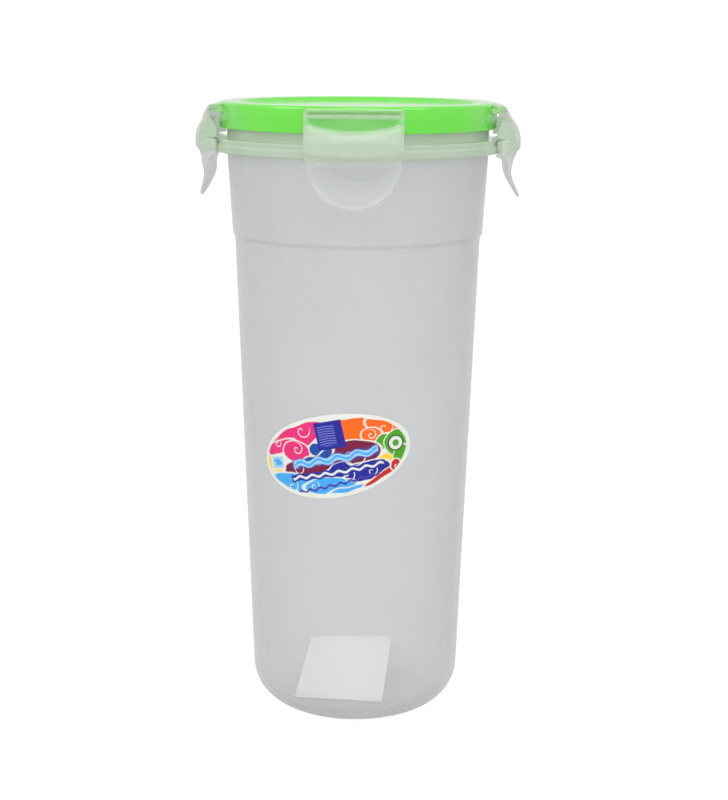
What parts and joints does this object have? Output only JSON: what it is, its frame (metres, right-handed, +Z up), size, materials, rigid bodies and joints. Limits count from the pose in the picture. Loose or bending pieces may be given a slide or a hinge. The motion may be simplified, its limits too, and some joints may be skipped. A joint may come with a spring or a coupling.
{
  "type": "food canister",
  "caption": "Tall tapered translucent food canister with a press-in sealed green lid, hinged snap latches on its sides, an oval printed sticker and a loose paper slip.",
  "frame": {"origin": "centre of the foot ring's underside, on the jar's axis", "axes": "+Z up along the jar's axis, -Y towards the front latch and the sticker, +X towards the right-hand latch"},
  "size_m": [0.114, 0.114, 0.22],
  "materials": {
    "jar_clear": "translucent polypropylene, smooth moulded gloss",
    "frame_clear": "translucent polypropylene, satin",
    "cover_green": "bright green polypropylene, smooth gloss",
    "latch_clear": "translucent polypropylene, satin",
    "hinge_clear": "thin flexed polypropylene",
    "seal": "soft white silicone",
    "sticker_print": null,
    "slip_paper": "plain matt paper"
  },
  "bodies": {
    "canister": {"canister_body": "jar_clear", "front_sticker": "sticker_print", "paper_slip": "slip_paper"},
    "lid": {"lid_frame": "frame_clear", "lid_cover": "cover_green", "gasket": "seal", "hinge_web_front": "hinge_clear", "hinge_web_right": "hinge_clear", "hinge_web_back": "hinge_clear", "hinge_web_left": "hinge_clear"},
    "latch_front": {"latch_front": "latch_clear"},
    "latch_right": {"latch_right": "latch_clear"},
    "latch_back": {"latch_back": "latch_clear"},
    "latch_left": {"latch_left": "latch_clear"}
  },
  "joints": [
    {"name": "lid_lift", "type": "slide", "parent": "canister", "child": "lid", "axis": [0, 0, 1], "range_m": [0, 0.06]},
    {"name": "latch_front_hinge", "type": "hinge", "parent": "lid", "child": "latch_front", "pos_m": [0, -0.0501, 0.21885], "axis": [-1, 0, 0], "range_deg": [0, 150]},
    {"name": "latch_right_hinge", "type": "hinge", "parent": "lid", "child": "latch_right", "pos_m": [0.0501, 0, 0.21885], "axis": [0, -1, 0], "range_deg": [0, 150]},
    {"name": "latch_back_hinge", "type": "hinge", "parent": "lid", "child": "latch_back", "pos_m": [0, 0.0501, 0.21885], "axis": [1, 0, 0], "range_deg": [0, 150]},
    {"name": "latch_left_hinge", "type": "hinge", "parent": "lid", "child": "latch_left", "pos_m": [-0.0501, 0, 0.21885], "axis": [0, 1, 0], "range_deg": [0, 150]}
  ]
}
